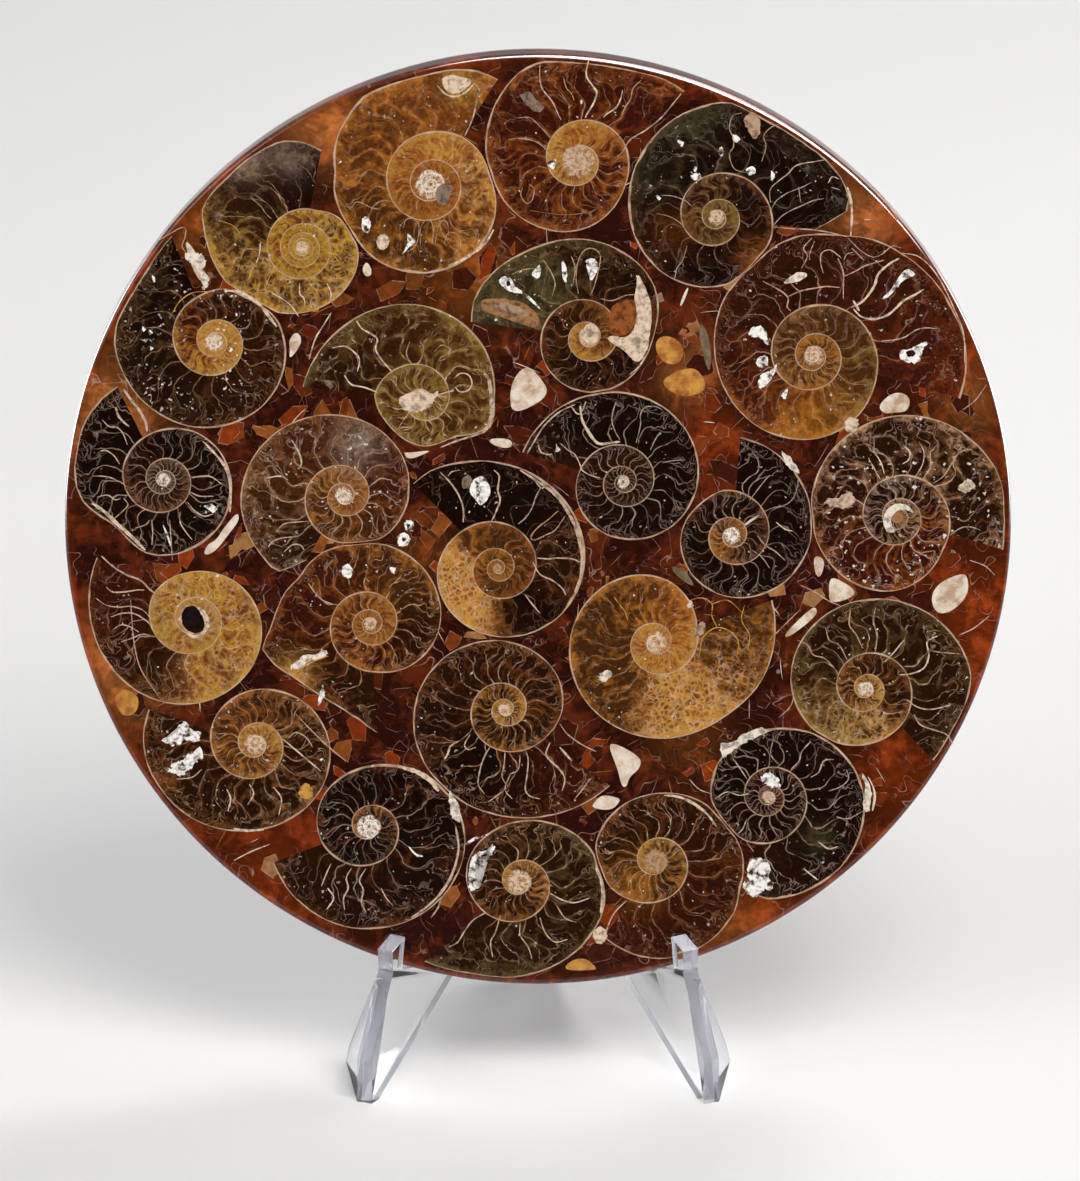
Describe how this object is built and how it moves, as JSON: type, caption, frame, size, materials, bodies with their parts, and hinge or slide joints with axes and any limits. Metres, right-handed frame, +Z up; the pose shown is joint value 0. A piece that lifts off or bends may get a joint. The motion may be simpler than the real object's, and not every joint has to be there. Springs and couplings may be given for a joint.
{
  "type": "ammonite fossil disc",
  "caption": "Round polished plate of resin with sliced ammonites and shell chips set flush in its face, leaning on a clear easel.",
  "frame": {"origin": "on the surface it stands on, under the middle of the whole object's bounding box", "axes": "+Z up, the disc's polished face towards -Y and leaning back towards +Y, +X to the right as seen from the front"},
  "size_m": [0.2, 0.0746, 0.2178],
  "materials": {
    "resin_matrix": "polished",
    "ammonite_amber": "polished",
    "ammonite_brown": "polished",
    "ammonite_olive": "polished",
    "ammonite_black": "polished",
    "shell_chip": "polished",
    "amber_pebble": "polished",
    "clear_acrylic": "gloss"
  },
  "bodies": {
    "root": {"matrix_slab": "resin_matrix", "ammonite_01": "ammonite_amber", "ammonite_02": "ammonite_brown", "ammonite_03": "ammonite_black", "ammonite_04": "ammonite_brown", "ammonite_05": "ammonite_amber", "ammonite_06": "ammonite_brown", "ammonite_07": "ammonite_black", "ammonite_08": "ammonite_brown", "ammonite_09": "ammonite_olive", "ammonite_10": "ammonite_black", "ammonite_11": "ammonite_black", "ammonite_12": "ammonite_brown", "ammonite_13": "ammonite_black", "ammonite_14": "ammonite_brown", "ammonite_15": "ammonite_amber", "ammonite_16": "ammonite_brown", "ammonite_17": "ammonite_brown", "ammonite_18": "ammonite_amber", "ammonite_19": "ammonite_olive", "ammonite_20": "ammonite_brown", "ammonite_21": "ammonite_brown", "ammonite_22": "ammonite_brown", "ammonite_23": "ammonite_brown", "ammonite_24": "ammonite_black", "chip_white_wedge": "shell_chip", "chip_shell_small": "shell_chip", "pebble_amber_upper": "amber_pebble", "pebble_amber_lower": "amber_pebble", "shard_olive": "shell_chip", "bar_white": "shell_chip", "chip_box": "shell_chip", "chip_white_kite": "shell_chip", "chip_porous": "shell_chip", "chip_white_amber": "shell_chip", "chip_pink_upper": "shell_chip", "chip_pink_lower": "shell_chip", "pebble_orange": "amber_pebble", "pebble_amber_bottom": "amber_pebble", "shard_grey": "shell_chip", "shell_crescent": "shell_chip", "shell_wedge": "shell_chip", "shell_strip": "shell_chip", "chip_white_long": "shell_chip", "chip_white_leaf": "shell_chip", "chip_white_small": "shell_chip", "splinter_white": "shell_chip", "easel_wing_left": "clear_acrylic", "easel_wing_right": "clear_acrylic", "easel_spine": "clear_acrylic"}
  },
  "joints": []
}
